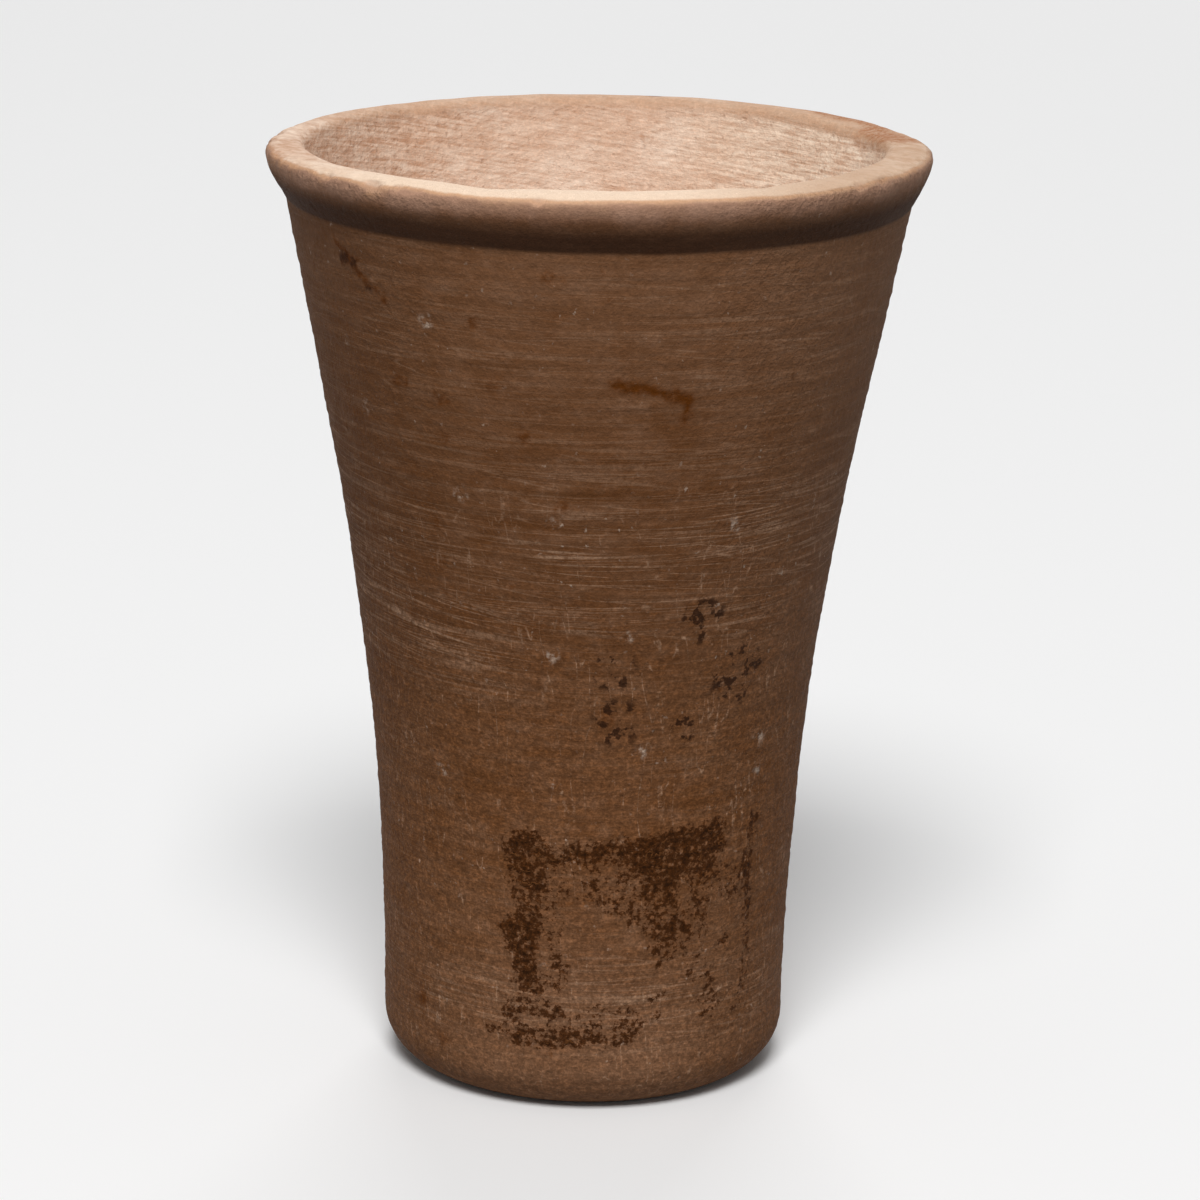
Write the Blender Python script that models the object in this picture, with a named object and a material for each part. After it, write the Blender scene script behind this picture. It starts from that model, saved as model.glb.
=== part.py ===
"""A small conical vase, hollowed out of one block of stone.

The dried paste of a lost sticker is left on its wall. Metres, +Z up.
The origin is the middle of the base, and -Y is the front.
"""

import math

import bmesh
import bpy

# The stone body, outside
HEIGHT = 0.1200
RIM_RADIUS = 0.0418
LIP_HEIGHT = 0.0062
LIP_PROJECTION = 0.0024
LIP_EDGE = 0.0015
LIP_ROUND_REACH = 0.0029
LIP_ROUND_DROP = 0.0012
UNDERCUT_FLARE = 0.55
EDGE_FLARE = 0.16
FOOT_RADIUS = 0.02605
FOOT_ROUND = 0.0063
NECK_FLARE = 0.20
FOOT_FLARE = 0.006

# The stone body, inside
RIM_WIDTH = 0.0056
MOUTH_ROUND = 0.0014
MOUTH_FLARE = 0.22
BORE_FOOT_FLARE = 0.02
FOOT_WALL = 0.0090
FLOOR_THICKNESS = 0.0110
FLOOR_ROUND = 0.0090

# The film of dried paste, as a square frame with one side worn away
LABEL_WIDTH = 0.0285
LABEL_HEIGHT = 0.0270
LABEL_FOOT = 0.0095
LABEL_TURN = math.radians(8.2)
SIDE_BAND = 0.0053
TOP_BAND = 0.0030
BOTTOM_BAND = 0.0050
BOTTOM_REACH = 0.0178
CORNER_WIDTH = 0.0138
CORNER_DROP = 0.0085
TAIL_WIDTH = 0.0060
TAIL_TIP = 0.0024
TAIL_DROP = 0.0080
TAIL_INSET = 0.0050
FILM_CORNER = 0.0011
EDGE_WANDER = 0.0008
WANDER_LONG = 0.0021
WANDER_SHORT = 0.0009
FILM_THICKNESS = 0.0002
FILM_GAP = 0.0001

# How finely curves are cut
TURN_STEPS = 72
WALL_STEPS = 16
BORE_STEPS = 12
LIP_STEPS = 5
ROUND_STEPS = 5
FILM_STEP = 0.0015
FILM_CORNER_STEPS = 3
FILM_CORNER_PROFILE = 0.5
MERGE_DISTANCE = 1e-6
HALVINGS = 40
# A curve's handles reach this share of its height
HANDLE_REACH = 0.39

# The finishes, as linear colour and roughness
STONE_BROWN = (0.26, 0.155, 0.095)
STONE_ROUGHNESS = 0.75
PASTE_BROWN = (0.05, 0.024, 0.012)
PASTE_ROUGHNESS = 0.6


def clear_scene():
    for old in list(bpy.data.objects):
        bpy.data.objects.remove(old, do_unlink=True)


def finish(name, colour, roughness):
    material = bpy.data.materials.new(name)
    material.use_nodes = True
    shader = material.node_tree.nodes["Principled BSDF"]
    shader.inputs["Base Color"].default_value = (*colour, 1.0)
    shader.inputs["Roughness"].default_value = roughness
    shader.inputs["Metallic"].default_value = 0.0
    return material


def add_object(name, mesh, material):
    piece = bpy.data.objects.new(name, mesh)
    piece.data.materials.append(material)
    bpy.context.scene.collection.objects.link(piece)
    return piece


def arc(centre, reach, rise, start, end):
    """Points on a rounded edge of a profile, both ends included, with angles from the outward direction.

    The reach is its half width and the rise its half height, alike on a true round.
    """
    angles = [start + (end - start) * i / ROUND_STEPS for i in range(ROUND_STEPS + 1)]
    return [(centre[0] + reach * math.cos(a), centre[1] + rise * math.sin(a)) for a in angles]


def curve_point(ends, t):
    """A point on the cubic curve through four control points."""
    weights = ((1 - t) ** 3, 3 * t * (1 - t) ** 2, 3 * t * t * (1 - t), t**3)
    return tuple(sum(w * p[axis] for w, p in zip(weights, ends)) for axis in (0, 1))


def flared_curve(low, low_flare, high, high_flare):
    """Control points of a curve that leaves each end at that end's flare, the radius gained per height."""
    reach = HANDLE_REACH * (high[1] - low[1])
    after_low = (low[0] + low_flare * reach, low[1] + reach)
    before_high = (high[0] - high_flare * reach, high[1] - reach)
    return low, after_low, before_high, high


def neck():
    return RIM_RADIUS - LIP_PROJECTION, HEIGHT - LIP_HEIGHT


def outer_wall():
    return flared_curve((FOOT_RADIUS, FOOT_ROUND), FOOT_FLARE, neck(), NECK_FLARE)


def wall_radius(height):
    """Radius of the outer wall between the foot's round edge and the neck."""
    ends = outer_wall()
    low, high = 0.0, 1.0
    for _ in range(HALVINGS):
        middle = (low + high) / 2
        if curve_point(ends, middle)[1] < height:
            low = middle
        else:
            high = middle
    return curve_point(ends, low)[0]


def bore_profile():
    """From the middle of the bore's floor up to the mouth."""
    radius = FOOT_RADIUS - FOOT_WALL
    mouth = RIM_RADIUS - RIM_WIDTH
    floor_edge = (radius - FLOOR_ROUND, FLOOR_THICKNESS + FLOOR_ROUND)
    wall = flared_curve(
        (radius, floor_edge[1]), BORE_FOOT_FLARE, (mouth, HEIGHT - MOUTH_ROUND), MOUTH_FLARE
    )
    points = [(0.0, FLOOR_THICKNESS)]
    points += arc(floor_edge, FLOOR_ROUND, FLOOR_ROUND, math.radians(-90), 0.0)
    points += [curve_point(wall, i / BORE_STEPS) for i in range(1, BORE_STEPS)]
    mouth_edge = (mouth + MOUTH_ROUND, HEIGHT - MOUTH_ROUND)
    points += arc(mouth_edge, MOUTH_ROUND, MOUTH_ROUND, math.radians(180), math.radians(90))
    return points


def lip_profile():
    """Over the rim's worn outer edge, down its short upright face and in under the lip to the neck."""
    crown = (RIM_RADIUS - LIP_ROUND_REACH, HEIGHT - LIP_ROUND_DROP)
    points = arc(crown, LIP_ROUND_REACH, LIP_ROUND_DROP, math.radians(90), 0.0)
    underside = flared_curve(neck(), UNDERCUT_FLARE, (RIM_RADIUS, HEIGHT - LIP_EDGE), EDGE_FLARE)
    return points + [curve_point(underside, 1 - i / LIP_STEPS) for i in range(LIP_STEPS)]


def wall_profile():
    """Down the hollow wall from the neck, round the foot's worn edge and in to the middle of the base."""
    ends = outer_wall()
    points = [curve_point(ends, 1 - i / WALL_STEPS) for i in range(WALL_STEPS)]
    foot_edge = (FOOT_RADIUS - FOOT_ROUND, FOOT_ROUND)
    points += arc(foot_edge, FOOT_ROUND, FOOT_ROUND, 0.0, math.radians(-90))
    return points + [(0.0, 0.0)]


def make_vessel():
    points = bore_profile() + lip_profile() + wall_profile()
    mesh = bpy.data.meshes.new("vessel")
    edges = [(i, i + 1) for i in range(len(points) - 1)]
    mesh.from_pydata([(radius, 0.0, height) for radius, height in points], edges, [])
    vessel = add_object("vessel", mesh, finish("brown_stone", STONE_BROWN, STONE_ROUGHNESS))
    turn = vessel.modifiers.new("turn", "SCREW")
    turn.axis = "Z"
    turn.angle = math.tau
    turn.steps = TURN_STEPS
    turn.render_steps = TURN_STEPS
    turn.use_merge_vertices = True
    turn.merge_threshold = MERGE_DISTANCE
    turn.use_smooth_shade = True
    return vessel


def residue_outline():
    """The film laid flat: arc length across from the label's left edge, and height above its lower edge."""
    corner_left = LABEL_WIDTH - CORNER_WIDTH
    corner_low = LABEL_HEIGHT - CORNER_DROP
    tail_right = LABEL_WIDTH - TAIL_INSET
    tail_left = tail_right - TAIL_WIDTH
    tail_middle = (tail_left + tail_right) / 2
    tail_low = corner_low - TAIL_DROP
    band_low = LABEL_HEIGHT - TOP_BAND
    return [
        (0.0, 0.0),
        (BOTTOM_REACH, 0.0),
        (BOTTOM_REACH, BOTTOM_BAND),
        (SIDE_BAND, BOTTOM_BAND),
        (SIDE_BAND, band_low),
        (corner_left, band_low),
        (corner_left, corner_low),
        (tail_left, corner_low),
        (tail_middle - TAIL_TIP / 2, tail_low),
        (tail_middle + TAIL_TIP / 2, tail_low),
        (tail_right, corner_low),
        (LABEL_WIDTH, corner_low),
        (LABEL_WIDTH, LABEL_HEIGHT),
        (0.0, LABEL_HEIGHT),
    ]


def cut_into_strips(film, axis, length):
    """Cuts the flat film across one axis, so that it can bend with the wall."""
    normal = [0.0, 0.0, 0.0]
    normal[axis] = 1.0
    count = math.ceil(length / FILM_STEP)
    for i in range(1, count):
        place = [0.0, 0.0, 0.0]
        place[axis] = length * i / count
        everything = film.verts[:] + film.edges[:] + film.faces[:]
        bmesh.ops.bisect_plane(film, geom=everything, plane_co=place, plane_no=normal)


def fray(film):
    """Lets the film's straight edges wander, as paste does where paper has torn off it."""
    for corner in film.verts:
        across, up = corner.co.x, corner.co.z
        corner.co.x += EDGE_WANDER * (math.sin(up / WANDER_LONG) + math.sin(up / WANDER_SHORT)) / 2
        corner.co.z += EDGE_WANDER * (math.sin(across / WANDER_LONG) + math.sin(across / WANDER_SHORT)) / 2


def lay_on_wall(film):
    """Bends the flat film round the wall. Its own thickness runs along -Y while it is flat."""
    middle_radius = wall_radius(LABEL_FOOT + LABEL_HEIGHT / 2)
    for corner in film.verts:
        turn = LABEL_TURN + (corner.co.x - LABEL_WIDTH / 2) / middle_radius
        height = LABEL_FOOT + corner.co.z
        radius = wall_radius(height) + FILM_GAP - corner.co.y
        corner.co = (radius * math.sin(turn), -radius * math.cos(turn), height)


def make_glue_residue():
    film = bmesh.new()
    film.faces.new([film.verts.new((across, 0.0, up)) for across, up in residue_outline()])
    bmesh.ops.bevel(
        film,
        geom=film.verts[:],
        offset=FILM_CORNER,
        segments=FILM_CORNER_STEPS,
        profile=FILM_CORNER_PROFILE,
        affect="VERTICES",
    )
    cut_into_strips(film, 0, LABEL_WIDTH)
    cut_into_strips(film, 2, LABEL_HEIGHT)
    fray(film)
    front = bmesh.ops.extrude_face_region(film, geom=film.faces[:])["geom"]
    raised = [item for item in front if isinstance(item, bmesh.types.BMVert)]
    bmesh.ops.translate(film, verts=raised, vec=(0.0, -FILM_THICKNESS, 0.0))
    lay_on_wall(film)
    bmesh.ops.recalc_face_normals(film, faces=film.faces[:])
    mesh = bpy.data.meshes.new("glue_residue")
    film.to_mesh(mesh)
    film.free()
    return add_object("glue_residue", mesh, finish("dried_paste", PASTE_BROWN, PASTE_ROUGHNESS))


clear_scene()
make_vessel()
make_glue_residue()
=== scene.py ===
import math

import bpy
import numpy as np
from mathutils import Matrix, Vector, noise


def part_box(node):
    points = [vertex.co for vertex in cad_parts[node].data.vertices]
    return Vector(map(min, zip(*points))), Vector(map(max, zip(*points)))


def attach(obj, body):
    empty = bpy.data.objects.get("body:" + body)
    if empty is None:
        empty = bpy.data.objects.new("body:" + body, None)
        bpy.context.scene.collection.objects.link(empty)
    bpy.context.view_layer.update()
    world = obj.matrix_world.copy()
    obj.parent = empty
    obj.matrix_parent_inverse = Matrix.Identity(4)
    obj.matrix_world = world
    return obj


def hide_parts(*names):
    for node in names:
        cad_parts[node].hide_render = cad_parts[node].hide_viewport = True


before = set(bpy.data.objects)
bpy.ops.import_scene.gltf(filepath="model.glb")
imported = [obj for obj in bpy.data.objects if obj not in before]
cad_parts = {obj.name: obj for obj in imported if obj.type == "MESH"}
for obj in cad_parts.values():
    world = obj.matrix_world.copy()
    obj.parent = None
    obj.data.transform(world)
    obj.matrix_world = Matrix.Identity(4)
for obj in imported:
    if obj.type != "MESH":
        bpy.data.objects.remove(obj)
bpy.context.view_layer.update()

# A small conical vase of brown stone: a ground wall, a pale worn rim and bore, and flakes of dried paste.
# The rim and bore are paler and the wall browner partly in the stone itself and partly as painted light and
# shade.
# Metres, +Z up, with the front towards -Y. Turns are degrees about the axis from the front towards +X.
MM = 0.001

# The stone body's profile
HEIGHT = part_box("vessel")[1].z
RIM_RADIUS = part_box("vessel")[1].x
LIP_HEIGHT = 6.2 * MM
LIP_PROJECTION = 2.4 * MM
LIP_EDGE = 1.5 * MM
LIP_ROUND_REACH = 2.9 * MM
LIP_ROUND_DROP = 1.2 * MM
UNDERCUT_FLARE = 0.55
EDGE_FLARE = 0.16
FOOT_RADIUS = 26.05 * MM
FOOT_ROUND = 6.3 * MM
NECK_FLARE = 0.20
FOOT_FLARE = 0.006
RIM_WIDTH = 5.6 * MM
MOUTH_ROUND = 1.4 * MM
MOUTH_FLARE = 0.22
BORE_FOOT_FLARE = 0.02
FOOT_WALL = 9.0 * MM
FLOOR_THICKNESS = 11.0 * MM
FLOOR_ROUND = 9.0 * MM
HANDLE_REACH = 0.39
NECK = (RIM_RADIUS - LIP_PROJECTION, HEIGHT - LIP_HEIGHT)
MOUTH_RADIUS = RIM_RADIUS - RIM_WIDTH
CURVE_STEPS = 60

# How far apart the points of the turned body are
TURN_STEPS = 256
FLOOR_STEP = 1.6 * MM
BORE_STEP = 1.5 * MM
LIP_STEP = 0.35 * MM
WALL_STEP = 0.45 * MM
FOOT_STEP = 0.6 * MM
BASE_STEP = 3.5 * MM
MERGE_DISTANCE = 0.001 * MM

# The bore was drilled a little off the axis, and the rim ground a little out of level, higher at the front
BORE_SHIFT = Vector((-0.5, 0.5, 0.0)) * MM
RIM_RISE = 0.50 * MM
RIM_TILT = Vector((0.22, -0.60)) * MM

# How uneven the stone is: layers of lumps, each as their size in millimetres, or one size for each axis,
# their height in millimetres and their seed
WORKED = ((24.0, 0.16, 0.0), (8.0, 0.07, 5.5))
GROUND = (((26.0, 26.0, 1.9), 0.05, 0.0), ((12.0, 12.0, 0.75), 0.10, 7.3), (1.3, 0.06, 3.9))
DRILLED = (((20.0, 20.0, 2.6), 0.11, 3.1), (3.5, 0.06, 1.7))
KNOCKED = ((5.0, 0.16, 9.2), (1.8, 0.06, 2.2))
RIM_WAVES = ((17.0, 0.20, 4.4), (5.0, 0.07, 8.1))

# Where that fades: across the wall from 0 in the bore to 1 outside, and up it
OUTSIDE_FADE = (0.6, 0.95)
BORE_FADE = (0.05, 0.4)
RIM_TOP_FADE = (HEIGHT - 2.5 * MM, HEIGHT - 0.8 * MM)
BASE_FADE = (0.0, 4.0 * MM)

# Worn places on the stone's edges, each as its turn, the size of its ball and its depth in millimetres
RIM_CHIPS = (
    (-106, 2.8, 0.60),
    (-98, 2.4, 0.55),
    (-91, 1.6, 0.35),
    (-52, 1.7, 0.45),
    (-41, 2.3, 0.60),
    (-35, 1.4, 0.40),
    (-32, 1.2, 0.40),
    (-10, 1.4, 0.40),
    (50, 1.6, 0.60),
    (56, 1.8, 0.62),
    (134, 1.6, 0.40),
    (-163, 1.9, 0.50),
)
MOUTH_DENTS = (
    (97, 7.0, 0.7),
    (108, 8.0, 1.0),
    (117, 7.5, 1.1),
    (127, 6.0, 0.6),
    (170, 3.0, 0.4),
    (-140, 5.0, 0.5),
    (-95, 6.0, 0.4),
    (31, 5.0, 0.4),
    (-20, 6.0, 0.3),
)
FOOT_CHIPS = (
    (4, 1.3, 0.35),
    (41, 1.8, 0.40),
    (-66, 2.2, 0.40),
    (140, 2.6, 0.60),
    (-150, 2.0, 0.50),
)
CHIP_RAGGED = 0.22
CHIP_LUMP = 1.1 * MM
FRESH_DEPTH = 0.5 * MM

# The edges that wear, as radius and height, and the share of a blow that goes each way on them
MOUTH_EDGE = (MOUTH_RADIUS + 0.4 * MM, HEIGHT - 0.4 * MM)
RIM_EDGE = (RIM_RADIUS - 0.5 * MM, HEIGHT - 0.6 * MM)
FOOT_EDGE = (FOOT_RADIUS - 1.6 * MM, 1.9 * MM)
LEAN = math.sqrt(0.5)

# The paste: dabs on the flattened wall, each from one end to the other in millimetres along the wall and up,
# with its half width at both ends and how much of it is left
FILM_RADIUS = 26.5 * MM
PASTE_DABS = (
    ((-7.6, 35.6), (-7.4, 31.0), 2.9, 2.8, 0.90),
    ((-7.3, 31.0), (-7.1, 25.0), 2.2, 1.8, 0.75),
    ((-8.3, 24.2), (-7.9, 21.5), 2.6, 2.2, 0.95),
    ((-7.6, 21.5), (-7.8, 17.5), 1.9, 1.7, 0.72),
    ((-7.8, 17.5), (-8.2, 11.5), 1.7, 1.9, 0.58),
    ((-7.5, 35.3), (4.5, 35.7), 1.6, 1.7, 0.76),
    ((4.5, 35.8), (16.6, 36.2), 2.0, 2.6, 0.95),
    ((6.5, 33.4), (15.2, 33.2), 1.6, 2.2, 0.85),
    ((9.2, 31.0), (10.4, 26.5), 3.0, 2.4, 0.80),
    ((10.6, 26.5), (11.3, 21.3), 1.8, 1.0, 0.80),
    ((8.4, 27.5), (9.3, 22.0), 1.2, 0.8, 0.66),
    ((4.6, 32.0), (6.0, 26.5), 1.5, 0.9, 0.60),
    ((14.5, 31.5), (15.5, 27.0), 2.0, 1.2, 0.50),
    ((15.0, 30.5), (20.0, 29.2), 0.9, 0.6, 0.62),
    ((20.0, 29.0), (23.0, 27.0), 0.5, 0.4, 0.55),
    ((-12.8, 10.6), (-9.0, 11.0), 0.5, 0.6, 0.62),
    ((-10.0, 13.6), (-3.4, 14.0), 0.9, 0.7, 0.70),
    ((-8.3, 10.2), (0.6, 10.6), 1.5, 1.3, 0.82),
    ((2.2, 10.4), (5.7, 10.5), 1.2, 1.2, 0.80),
    ((5.7, 11.0), (7.6, 12.0), 0.5, 0.4, 0.62),
    ((9.5, 12.8), (9.8, 13.2), 0.6, 0.5, 0.90),
    ((8.8, 15.1), (9.3, 15.3), 0.5, 0.4, 0.80),
    ((10.0, 15.9), (10.3, 16.2), 0.4, 0.4, 0.80),
    ((19.3, 22.0), (19.8, 22.0), 0.7, 0.5, 0.95),
    ((16.0, 12.3), (17.2, 12.6), 0.4, 0.4, 0.95),
    ((10.0, 20.3), (10.0, 19.8), 0.4, 0.3, 0.80),
    ((-5.5, 33.0), (7.0, 31.0), 3.2, 4.0, 0.36),
    ((-5.5, 27.0), (-4.5, 19.0), 3.2, 3.0, 0.32),
    ((4.5, 29.5), (13.5, 25.0), 3.4, 3.6, 0.42),
    ((13.0, 33.5), (21.0, 29.0), 3.2, 2.4, 0.42),
    ((-9.0, 13.0), (5.0, 12.0), 3.4, 3.0, 0.40),
    ((14.0, 21.0), (18.0, 13.0), 2.4, 2.0, 0.28),
)
PASTE_LINE = (
    (23.6, 38.6),
    (22.7, 31.0),
    (23.6, 26.9),
    (23.4, 23.5),
    (24.2, 20.6),
    (23.9, 17.6),
    (23.6, 13.9),
    (22.2, 12.3),
)
PASTE_LINE_HALF = 0.9
PASTE_LINE_LEFT = 0.58
FILM_LEFT, FILM_RIGHT = -14.5, 26.0
FILM_LOW, FILM_HIGH = 8.0, 39.6
FILM_CELL = 0.17
FILM_CUT = 1.15
FILM_THICKNESS = 0.05 * MM
FILM_GAP = 0.012 * MM
# How far off the wall the flakes start, before they are laid on the stone
FILM_START = 0.3 * MM
# Where a dab fades out, in half widths, and how far across the wall its stain starts
DAB_FADE = (0.6, 1.25)
STAIN_ACROSS = 0.9

# The grains, level streaks and patches that the paste breaks up into, as layers of lumps in the same way
FLAKE_LUMPS = ((0.80, 0.55, 0.0), (0.36, 0.40, 6.0), ((3.2, 0.6, 1.0), 0.25, 2.0), (2.6, 0.40, 8.0))
BARE = 0.02

# The camera, from a photograph 1200 pixels across
PHOTO_PIXELS = 1200
FOCAL_PIXELS = 4734
SENSOR_MM = 36.0
CAMERA_PLACE = Vector((0.0, -0.58784, 0.22313))
CAMERA_YAW = math.radians(0.116)
CAMERA_PITCH = math.radians(15.433)
CAMERA_ROLL = math.radians(1.11)

# The stage
FLOOR_SIZE = 6.0
FLOOR_PALE = 0.92
FLOOR_BOUNCE = 0.34
FLOOR_ROUGHNESS = 0.9
FLOOR_SPECULAR = 0.2
SKY_SHOWN = 0.85
SKY_LIGHT = 0.22


# Profile of the stone

def cubic(ends):
    """Points along the curve with those four control points."""
    t = np.linspace(0.0, 1.0, CURVE_STEPS + 1)[:, None]
    weights = ((1 - t) ** 3, 3 * t * (1 - t) ** 2, 3 * t * t * (1 - t), t**3)
    return sum(weight * np.array(end) for weight, end in zip(weights, ends))


def flared(low, low_flare, high, high_flare):
    """A curve, as radius and height, that leaves each end at that end's flare."""
    reach = HANDLE_REACH * (high[1] - low[1])
    after_low = (low[0] + low_flare * reach, low[1] + reach)
    before_high = (high[0] - high_flare * reach, high[1] - reach)
    return cubic((low, after_low, before_high, high))


def rounded(centre, reach, rise, start, end):
    """A rounded edge from one angle to another, in degrees from the outward direction."""
    angles = np.radians(np.linspace(start, end, CURVE_STEPS + 1))
    return np.column_stack([centre[0] + reach * np.cos(angles), centre[1] + rise * np.sin(angles)])


def bore_floor():
    radius = FOOT_RADIUS - FOOT_WALL - FLOOR_ROUND
    edge = rounded((radius, FLOOR_THICKNESS + FLOOR_ROUND), FLOOR_ROUND, FLOOR_ROUND, -90, 0)
    return np.vstack([(0.0, FLOOR_THICKNESS), edge])


def bore_wall():
    low = (FOOT_RADIUS - FOOT_WALL, FLOOR_THICKNESS + FLOOR_ROUND)
    return flared(low, BORE_FOOT_FLARE, (MOUTH_RADIUS, HEIGHT - MOUTH_ROUND), MOUTH_FLARE)


def rim():
    """Over the mouth's edge, the rim and its worn outer edge, and in under the lip to the neck."""
    mouth = rounded((MOUTH_RADIUS + MOUTH_ROUND, HEIGHT - MOUTH_ROUND), MOUTH_ROUND, MOUTH_ROUND, 180, 90)
    crown = (RIM_RADIUS - LIP_ROUND_REACH, HEIGHT - LIP_ROUND_DROP)
    edge = rounded(crown, LIP_ROUND_REACH, LIP_ROUND_DROP, 90, 0)
    underside = flared(NECK, UNDERCUT_FLARE, (RIM_RADIUS, HEIGHT - LIP_EDGE), EDGE_FLARE)
    return np.vstack([mouth, edge, underside[::-1]])


def outer_wall():
    return flared((FOOT_RADIUS, FOOT_ROUND), FOOT_FLARE, NECK, NECK_FLARE)[::-1]


def foot():
    return rounded((FOOT_RADIUS - FOOT_ROUND, FOOT_ROUND), FOOT_ROUND, FOOT_ROUND, 0, -90)


def base():
    return np.array([(FOOT_RADIUS - FOOT_ROUND, 0.0), (0.0, 0.0)])


def respaced(line, step):
    """The same line with its points about a step apart, both ends kept."""
    lengths = np.r_[0.0, np.cumsum(np.linalg.norm(np.diff(line, axis=0), axis=1))]
    along = np.linspace(0.0, lengths[-1], max(1, round(lengths[-1] / step)) + 1)
    return np.column_stack([np.interp(along, lengths, line[:, axis]) for axis in (0, 1)])


def stone_profile():
    """From the middle of the bore's floor up, over the rim, and down to the middle of the base."""
    parts = (
        (bore_floor(), FLOOR_STEP),
        (bore_wall(), BORE_STEP),
        (rim(), LIP_STEP),
        (outer_wall(), WALL_STEP),
        (foot(), FOOT_STEP),
        (base(), BASE_STEP),
    )
    lines = [respaced(line, step) for line, step in parts]
    return np.vstack([lines[0]] + [line[1:] for line in lines[1:]])


def wall_radius(heights):
    """The outside's radius at each height, up to the lip's widest place."""
    outside = np.vstack([foot()[::-1], outer_wall()[::-1][1:], rim()[-CURVE_STEPS:][::-1]])
    return np.interp(heights, outside[:, 1], outside[:, 0])


def bore_radius(heights):
    inside = np.vstack([bore_floor(), bore_wall()[1:]])
    return np.interp(heights, inside[:, 1], inside[:, 0])


# Modelling

def smooth_step(low, high, values):
    t = np.clip((values - low) / (high - low), 0.0, 1.0)
    return t * t * (3 - 2 * t)


def lumps(points, size, seed=0.0):
    """Smooth noise from -1 to 1 at each point, with lumps of that size, or of one size for each axis."""
    return np.array([noise.noise(Vector(point)) for point in points / np.array(size) + seed])


def uneven(points, layers, unit=MM):
    """Layers of lumps added up, each with its size, height and seed."""
    return sum(height * lumps(points, np.array(size) * unit, seed) for size, height, seed in layers)


def read_points(mesh, field="co"):
    values = np.empty(len(mesh.vertices) * 3)
    mesh.vertices.foreach_get(field, values)
    return values.reshape(-1, 3)


def write_points(mesh, points):
    mesh.vertices.foreach_set("co", points.ravel())
    mesh.update()


def write_attribute(mesh, name, values):
    mesh.attributes.new(name, "FLOAT", "POINT").data.foreach_set("value", values.astype(np.float32))


def turn_body(name, profile):
    """A closed body turned about the axis, its profile drawn point by point."""
    bpy.ops.object.select_all(action="DESELECT")
    bpy.ops.mesh.primitive_plane_add(size=HEIGHT)
    piece = bpy.context.object
    piece.name = piece.data.name = name
    bpy.ops.object.mode_set(mode="EDIT")
    bpy.ops.mesh.merge(type="CENTER")
    bpy.ops.transform.translate(value=(profile[0][0], 0.0, profile[0][1]))
    for outward, upward in np.diff(profile, axis=0):
        bpy.ops.mesh.extrude_region_move(TRANSFORM_OT_translate={"value": (outward, 0.0, upward)})
    bpy.ops.mesh.select_all(action="SELECT")
    bpy.ops.mesh.spin(steps=TURN_STEPS, angle=math.tau, center=(0, 0, 0), axis=(0, 0, 1))
    bpy.ops.mesh.select_all(action="SELECT")
    bpy.ops.mesh.remove_doubles(threshold=MERGE_DISTANCE)
    bpy.ops.mesh.normals_make_consistent(inside=False)
    bpy.ops.object.mode_set(mode="OBJECT")
    bpy.ops.object.shade_smooth()
    return piece


def on_turn(turn, radius, height):
    angle = math.radians(turn)
    return np.array((radius * math.sin(angle), -radius * math.cos(angle), height))


def bite(points, chipped, edge, outward, chip):
    """Takes one chip from an edge, given as radius and height, and marks how deep it went."""
    turn, size, depth = chip
    size = size * MM
    reach = size - depth * MM
    centre = on_turn(turn, edge[0] + outward[0] * reach, edge[1] + outward[1] * reach)
    near = np.flatnonzero(np.linalg.norm(points - centre, axis=1) < size * (1 + CHIP_RAGGED))
    away = points[near] - centre
    far = np.linalg.norm(away, axis=1)
    ball = size * (1 + CHIP_RAGGED * lumps(points[near], CHIP_LUMP))
    pushed = np.maximum(ball - far, 0.0)
    points[near] += away * (pushed / far)[:, None]
    chipped[near] = np.maximum(chipped[near], smooth_step(0.0, FRESH_DEPTH, pushed))


def dent(points, edge, inward, place):
    """Presses one soft dent into an edge, given as radius and height."""
    turn, size, depth = place
    away = np.linalg.norm(points - on_turn(turn, *edge), axis=1)
    press = depth * MM * (1 - smooth_step(0.0, size * MM, away))
    points += np.outer(press, on_turn(turn, *inward))


def wear_edges(points):
    """Dents along the mouth and chips along the rim and the foot, and how deep each point lies in a chip."""
    for place in MOUTH_DENTS:
        dent(points, MOUTH_EDGE, (LEAN, -LEAN), place)
    chipped = np.zeros(len(points))
    for chip in RIM_CHIPS:
        bite(points, chipped, RIM_EDGE, (LEAN, LEAN), chip)
    for chip in FOOT_CHIPS:
        bite(points, chipped, FOOT_EDGE, (LEAN, -LEAN), chip)
    return chipped


def across_wall(radii, heights):
    """How far across the wall each point lies, from 0 in the bore to 1 outside."""
    inner, outer = bore_radius(heights), wall_radius(heights)
    across = np.clip((radii - inner) / (outer - inner), 0.0, 1.0)
    across[heights < FLOOR_THICKNESS / 2] = 1.0
    over_rim = heights > HEIGHT - LIP_EDGE
    across[over_rim] = np.clip((radii[over_rim] - MOUTH_RADIUS) / RIM_WIDTH, 0.0, 1.0)
    return across


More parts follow.
